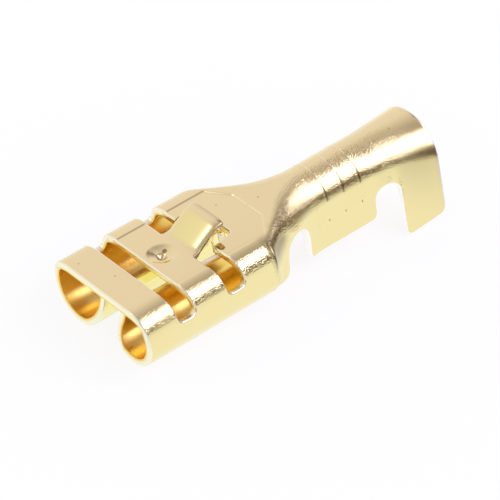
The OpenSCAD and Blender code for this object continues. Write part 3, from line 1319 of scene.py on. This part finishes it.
@dataclass(frozen=True)
class BrassFinish:
    """Bright rolled brass, grained where it was bent and torn where it was sheared."""

    name: str = "brass_strip"
    colour: Colour = (0.90, 0.80, 0.42)
    warm: Colour = (0.91, 0.79, 0.40)
    # Deeper orange and brighter on the inner face: painted light of the bounces inside the
    # rolls.
    inner: Colour = (0.98, 0.71, 0.19)
    lip: Colour = (0.98, 0.90, 0.44)
    cut: Colour = (0.98, 0.94, 0.70)
    # Near white on the wings' cut faces: painted reflection of the white floor.
    wing_cut_sheen: Colour = (1.0, 1.0, 0.96)
    # Dark brown: painted shade on the lance's cut edges, the serration lines, their pricks
    # and the dimple's dark spot, and real grime in the specks.
    dirt_and_shade: Colour = (0.30, 0.20, 0.08)
    # Painted highlight, laid on the serration lines and their pricks, the coined edge and
    # the dimple's glint.
    painted_highlight: Colour = (1.0, 0.93, 0.60)
    # Painted shade over the neck's concave fold.
    shaded: Colour = (0.32, 0.26, 0.15)
    # Painted shade for the middle of the dimple's pit and the lance's bent-down tip.
    dim_shade: Colour = (0.60, 0.50, 0.30)
    # The dimple's dark spot and the middle of its pit are painted shade, its glint a
    # painted highlight; the specks are grime.
    star_shade: Range = (4.08, 0.22)
    glint: Range = (3.72, 0.46)
    pit: Range = (3.76, 0.0)
    specks: tuple[Range, ...] = (
        (9.64, 0.03), (1.17, 0.2), (17.55, -0.45), (7.9, 1.1), (0.5, 2.2)
    )
    lines: SerrationLines = SerrationLines()
    lip_start: Range = (8.2, 9.0)
    # Where the painted floor reflection on the cut faces starts along x.
    wings: Range = (8.8, 9.4)
    # Where the painted shade on the lance's bent-down tip starts along x.
    lance_tip_shade: Range = (6.54, 6.91)
    # Where the painted shade over the neck's fold starts and ends along x, for the band
    # and for its line.
    waist_shade: tuple[Range, Range] = ((7.4, 7.75), (9.9, 9.0))
    fold: tuple[Range, Range] = ((8.0, 8.7), (11.0, 9.9))
    plate: tuple[Range, Range] = ((2.4, 3.0), (9.5, 8.0))
    flare: tuple[Range, Range] = ((14.8, 16.0), (18.8, 16.4))
    roughness: float = 0.08
    peel: float = 0.024
    peel_scale: float = 14.0
    grain: float = 0.00035
    torn: float = 0.0005
    prick: float = 0.02
    bow: float = 0.011
    bow_half: float = 2.4
    roll_turn: float = 0.27
    roll_twist: float = 0.035
    flare_turn: float = 0.2

    def relief(self, at: SheetPoint, tick: Signal) -> Signal:
        """Return the height of the fine relief.

        Args:
            at: The point of the sheet.
            tick: Where the serrations prick the wings.

        Returns:
            The height in metres.
        """
        graph, x, s = at.graph, at.x, at.s
        along = graph.vector("MULTIPLY", at.where, (0.25, 9.0, 1.0))
        rolled = graph.noise(along, 1.6, 3.0) - 0.5
        peel = (graph.noise(at.where, self.peel_scale, 0.0) - 0.5) * self.peel
        peel = peel * (0.06 + 0.94 * at.bent)
        peel = peel * (1.0 - 0.9 * at.inner) * (1.0 - 0.8 * at.lance)
        fine = (at.fine - 0.5) * (0.0002 + self.torn * at.shear)
        rise = peel + rolled * self.grain + fine - tick * self.prick
        bowed = s.least(self.bow_half)
        bow = bowed * bowed * x.within(*self.plate) * self.bow
        roll = (self.roll_turn + self.roll_twist * x) * s.step(2.1, 4.6)
        roll = roll * x.step(7.8, 7.45)
        flare = x.within(*self.flare) * s.step(0.2, 2.5) * self.flare_turn
        return (rise - bow - (roll - flare) * at.y.step(0.5, -0.5)) * MM

    def tone(self, at: SheetPoint, bright: Signal, dark: Signal) -> Any:
        """Return the colour, with painted highlight and painted shade laid in.

        Args:
            at: The point of the sheet.
            bright: Where the serrations' lines get painted highlight.
            dark: Where they get painted shade.

        Returns:
            The colour socket.
        """
        x, y, s, fine = at.x, at.y, at.s, at.fine - 0.5
        # Painted shade: a dark band over the neck's concave fold on the -Y side, and a
        # line of it running up to the barrel.
        waist_shade = x.within(*self.waist_shade) * y.step(-2.1, -3.1)
        waist_shade = waist_shade * (s + (x - 7.6) * 0.8).step(5.0, 4.0)
        line = (s + (x - 8.9) * 0.7).bell(2.25, 0.34) * y.step(0.2, -0.2)
        waist_shade = waist_shade.most(line * x.within(*self.fold) * 0.75)
        top = at.outer * (1.0 - at.lance)
        # Painted highlight and painted shade in the dimple.
        glint = (at.near(*self.glint) + 0.08 * fine).step(0.2, 0.1)
        star_shade = (at.near(*self.star_shade) + 0.06 * fine).step(0.15, 0.09)
        pit = at.near(*self.pit).step(0.3, 0.12)
        layers = [
            (at.cloud, self.warm),
            (s.step(*self.lip_start), self.lip),
            (waist_shade * 0.85, self.shaded),
            # Painted bounce light on the inner face.
            (at.inner, self.inner),
            (at.shear * at.outer, self.cut),
            # Painted reflection of the floor on the wings' cut faces.
            (at.shear * x.step(*self.wings), self.wing_cut_sheen),
            # Painted shade on the lance's cut edges.
            (at.shear * at.lance * 0.85, self.dirt_and_shade),
            # Painted highlight on the serration lines, beside their pricks and along the
            # coined edge.
            (bright + at.worn * 0.6, self.painted_highlight),
            # Painted shade along the serration lines and in their pricks.
            (dark, self.dirt_and_shade),
            (glint * top * 0.5, self.painted_highlight),
            (star_shade * top * 0.9, self.dirt_and_shade),
            (pit * top * 0.6, self.dim_shade),
        ]
        for speck in self.specks:
            layers.append((at.near(*speck).step(0.06, 0.03) * top * 0.6, self.dirt_and_shade))
        # Painted shade on the lance's tip, where it bends down.
        tip_shade = x.step(*self.lance_tip_shade) * at.lance
        layers.append((tip_shade * (1.0 - at.shear) * 0.75, self.dim_shade))
        return at.graph.coats(self.colour, layers)

    def build(self) -> bpy.types.Material:
        """Make the material."""
        material, graph = new_material(self.name)
        at = SheetPoint(graph)
        bright, dark, tick = self.lines.read(at)
        height = self.relief(at, tick)
        bump = graph.node("ShaderNodeBump", {}, Strength=1.0, Distance=1.0, Height=height)
        rough = self.roughness + 0.05 * (at.cloud - 0.5) + 0.18 * at.shear
        shader = graph.node(
            "ShaderNodeBsdfPrincipled",
            {},
            Base_Color=self.tone(at, bright, dark),
            Metallic=1.0,
            Roughness=rough + 0.2 * at.inner,
            Normal=bump.outputs[0],
        )
        graph.node("ShaderNodeOutputMaterial", {}, shader.outputs[0])
        return material


@dataclass(frozen=True)
class FloorFinish:
    """A white floor that keeps a soft shadow and falls into the dark far out.

    The far part is dark only where shiny metal mirrors it.
    """

    name: str = "floor_white"
    kept_shadow: float = 0.13
    matt: float = 0.95
    reach: Range = (0.008, 0.029)
    side: Range = (0.003, -0.006)
    white: Colour = (1.0, 1.0, 1.0)
    dark: Colour = (0.17, 0.135, 0.12)

    def build(self) -> bpy.types.Material:
        """Make the material."""
        material, graph = new_material(self.name)
        place = graph.node("ShaderNodeTexCoord", {}).outputs["Object"]
        reach = graph.length(place).step(*self.reach)
        side = graph.parts(place)[1].step(*self.side)
        fall = reach * side * (1.0 - graph.rays("Is Camera Ray"))
        tone = graph.coats(self.white, [(fall, self.dark)])
        matt = graph.node("ShaderNodeBsdfDiffuse", {}, Color=rgba(*(self.matt,) * 3))
        glow = graph.node("ShaderNodeEmission", {}, Color=tone, Strength=1.0)
        traced = graph.rays("Is Camera Ray", "Is Glossy Ray", "Is Transmission Ray")
        share = traced * (1 - self.kept_shadow * (1.0 - reach))
        both = (matt.outputs[0], glow.outputs[0])
        mix = graph.node("ShaderNodeMixShader", {}, share, *both)
        graph.node("ShaderNodeOutputMaterial", {}, mix.outputs[0])
        return material


@dataclass(frozen=True)
class TentFinish:
    """The light tent: pale cloth with one long bright strip and a dark hem.

    Directions are in the strip's own frame: the tilt is 0 straight up and -90 level
    on the -Y side.
    """

    name: str = "tent_cloth"
    cloth: Colour = (0.90, 0.81, 0.93)
    front: Colour = (0.89, 0.86, 0.78)
    side: Colour = (0.95, 0.93, 1.0)
    dip: Colour = (0.16, 0.12, 0.11)
    hem: Colour = (0.17, 0.135, 0.12)
    rear: Colour = (0.36, 0.29, 0.27)
    lamp: Colour = (1.0, 0.95, 1.3)
    power: float = 3.0
    ahead: Range = (0.49, 0.62)
    wide_dip: Range = (-10.0, 32.0)
    tight_dip: Range = (22.0, 17.0)
    lit: tuple[Range, Range] = ((-0.5, 0.05), (0.89, 0.76))
    strip_top: float = -19.0
    strip_lift: float = 24.0
    lift_from: Range = (0.5, 0.68)
    strip_end: Range = (-82.0, -56.0)
    hem_from: Range = (-68.0, -88.0)
    back: Range = (-0.5, 0.12)
    back_tilt: Range = (24.0, 13.0)
    rear_from: Range = (0.72, 0.86)
    rear_tilt: Range = (80.0, 35.0)

    def build(self) -> bpy.types.Material:
        """Make the material."""
        material, graph = new_material(self.name)
        place = graph.node("ShaderNodeTexCoord", {}).outputs["Object"]
        x, y, z = graph.parts(graph.vector("NORMALIZE", place))
        tilt = y.angle(z) * (180 / math.pi)
        ahead = x.step(*self.ahead)
        wide = tilt.bell(*self.wide_dip) * 0.56 * (1.0 - ahead)
        tight = tilt.bell(*self.tight_dip) * 0.78 * ahead
        top = self.strip_top + x.step(*self.lift_from) * self.strip_lift
        strip = (top - tilt).step(0.0, 24.0) * tilt.step(*self.strip_end)
        strip = strip * x.within(*self.lit)
        hem = tilt.step(*self.hem_from)
        back = x.bell(*self.back) * tilt.bell(*self.back_tilt) * 0.7
        rear = x.step(*self.rear_from) * tilt.step(*self.rear_tilt)
        layers = [
            (x.step(0.0, -0.4), self.front),
            (tilt.step(60.0, 130.0), self.side),
            ((wide + tight) * z.step(-0.1, 0.2), self.dip),
            (rear * (1.0 - strip), self.rear),
            (strip.most(back), self.lamp),
            (hem, self.hem),
        ]
        level = 1.0 + (self.power - 1.0) * (strip * (1.0 - hem)).most(back)
        tone = graph.coats(self.cloth, layers)
        scaled = graph.vector("SCALE", tone, None, None, level)
        glow = graph.node("ShaderNodeEmission", {}, Color=scaled, Strength=1.0)
        graph.node("ShaderNodeOutputMaterial", {}, glow.outputs[0])
        return material


# ---------------------------------------------------------------- the object


@dataclass
class Terminal:
    """The whole terminal, laid down as it comes to rest."""

    form: StripMesh = field(default_factory=StripMesh)
    finish: BrassFinish = field(default_factory=BrassFinish)
    name: str = "terminal_brass"
    roll_depth: float = 3.25696
    touch: float = 0.7
    touch_lift: float = 0.05
    centre_band: float = 2e-6

    def rest(self) -> Matrix:
        """Return the matrix from the strip's own frame, in mm, to the row frame."""
        ins = self.form.strip.insulation
        fall = ins.slant / (ins.end - ins.wing)
        depth = ins.wing_depth - (self.touch * fall + self.touch_lift) * ins.corner
        reach = ins.wing + self.touch * ins.corner
        tilt = math.atan2(depth - self.roll_depth, reach)
        length = (
            (ins.end - ins.corner) * math.cos(tilt)
            + (ins.wing_depth - ins.slant - ins.corner) * math.sin(tilt)
            + ins.corner
        )
        height = self.roll_depth * math.cos(tilt)
        return (
            Matrix.Scale(MM, 4)
            @ Matrix.Translation((-length / 2, 0, height))
            @ Matrix.Rotation(-tilt, 4, "Y")
        )

    def build(self) -> bpy.types.Object:
        """Make the dressed strip and give it its place.

        Returns:
            The object.
        """
        points, faces, traits = self.form.half()
        count = len(points)
        both = np.concatenate([points, points * MIRROR])
        faces = faces + [tuple(i + count for i in reversed(f)) for f in faces]
        matrix = np.array(self.rest())
        placed = both @ matrix[:3, :3].T + matrix[:3, 3]
        mesh = bpy.data.meshes.new(self.name)
        mesh.from_pydata(placed.tolist(), [], faces)
        for name, values in traits.items():
            vector = values.ndim == 2
            other = values * MIRROR if vector else values
            data = np.concatenate([values, other]).astype(np.float32).ravel()
            kind = "FLOAT_VECTOR" if vector else "FLOAT"
            layer = mesh.attributes.new(name, kind, "POINT")
            layer.data.foreach_set("vector" if vector else "value", data)
        self.weld(mesh)
        mesh.shade_smooth()
        piece = bpy.data.objects.new(self.name, mesh)
        bpy.context.scene.collection.objects.link(piece)
        mesh.materials.append(self.finish.build())
        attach(piece, "root")
        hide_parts("terminal")
        log.info("%s: %d faces", piece.name, len(mesh.polygons))
        return piece

    def weld(self, mesh: bpy.types.Mesh) -> None:
        """Join the two halves along the centre line.

        Args:
            mesh: The mesh of both halves.
        """
        work = bmesh.new()
        work.from_mesh(mesh)
        near = [v for v in work.verts if abs(v.co.y) < self.centre_band]
        bmesh.ops.remove_doubles(work, verts=near, dist=self.centre_band)
        bmesh.ops.recalc_face_normals(work, faces=work.faces)
        work.to_mesh(mesh)
        work.free()


@dataclass
class Studio:
    """The floor, the light tent and the camera."""

    floor_radius: float = 0.45
    tent_radius: float = 0.9
    sensor: float = 36.0
    focal_share: float = 5.57085038
    clip: Range = (0.005, 10.0)
    turn: tuple[float, float, float] = (0.971559628, 0.66027499, -0.127780117)
    stand: tuple[float, float, float] = (-51.19624101, -87.79838709, 79.86660993)

    def build(self, rest: Matrix, low: float) -> None:
        """Make the stage.

        Args:
            rest: Matrix from the strip's own frame to the row frame.
            low: Height of the floor.
        """
        self.floor(low)
        self.tent(rest)
        self.world()
        self.camera(rest)
        bpy.context.scene.view_settings.view_transform = "Standard"

    def floor(self, low: float) -> None:
        """Make the floor, a round sheet.

        Args:
            low: Its height.
        """
        bpy.ops.mesh.primitive_circle_add(
            vertices=96, radius=self.floor_radius, fill_type="NGON", location=(0, 0, low)
        )
        sheet = bpy.context.object
        sheet.name = "floor"
        sheet.data.materials.append(FloorFinish().build())
        sheet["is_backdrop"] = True

    def tent(self, rest: Matrix) -> None:
        """Make the light tent, a ball that the camera looks through.

        Args:
            rest: Matrix from the strip's own frame, which the tent lines up with.
        """
        bpy.ops.mesh.primitive_uv_sphere_add(
            segments=64, ring_count=32, radius=self.tent_radius
        )
        ball = bpy.context.object
        ball.name = "tent"
        ball.rotation_euler = rest.to_euler()
        ball.data.materials.append(TentFinish().build())
        ball.visible_camera = False
        ball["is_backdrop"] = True

    def world(self) -> None:
        """Make the world plain white."""
        world = bpy.data.worlds.new("studio")
        world.use_nodes = True
        bpy.context.scene.world = world
        graph = Graph(world.node_tree)
        back = graph.node("ShaderNodeBackground", {}, Color=rgba(1, 1, 1), Strength=1.0)
        graph.node("ShaderNodeOutputWorld", {}, back.outputs[0])

    def camera(self, rest: Matrix) -> None:
        """Make the camera.

        Args:
            rest: Matrix from the strip's own frame to the row frame.
        """
        azimuth, height, roll = self.turn
        level = Vector((math.cos(azimuth), math.sin(azimuth), 0.0))
        to_eye = level * -math.cos(height) + Vector((0.0, 0.0, math.sin(height)))
        right = Vector((math.sin(azimuth), -math.cos(azimuth), 0.0))
        up = right.cross(-to_eye)
        across = right * math.cos(roll) + up * math.sin(roll)
        above = up * math.cos(roll) - right * math.sin(roll)
        turn = rest.to_3x3() * (1 / MM)
        axes = Matrix([turn @ across, turn @ above, turn @ to_eye]).transposed()
        lens = bpy.data.cameras.new("camera")
        lens.sensor_width = self.sensor
        lens.lens = self.focal_share * self.sensor
        lens.clip_start, lens.clip_end = self.clip
        eye = bpy.data.objects.new("camera", lens)
        eye.matrix_world = Matrix.Translation(rest @ Vector(self.stand)) @ axes.to_4x4()
        bpy.context.scene.collection.objects.link(eye)
        bpy.context.scene.camera = eye


def main() -> None:
    """Load the frame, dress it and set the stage."""
    logging.basicConfig(level=logging.INFO, format="%(name)s: %(message)s")
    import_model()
    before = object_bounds()
    terminal = Terminal()
    terminal.build()
    Studio().build(terminal.rest(), before[0].z - 0.00001)


if __name__ == "__main__":
    main()
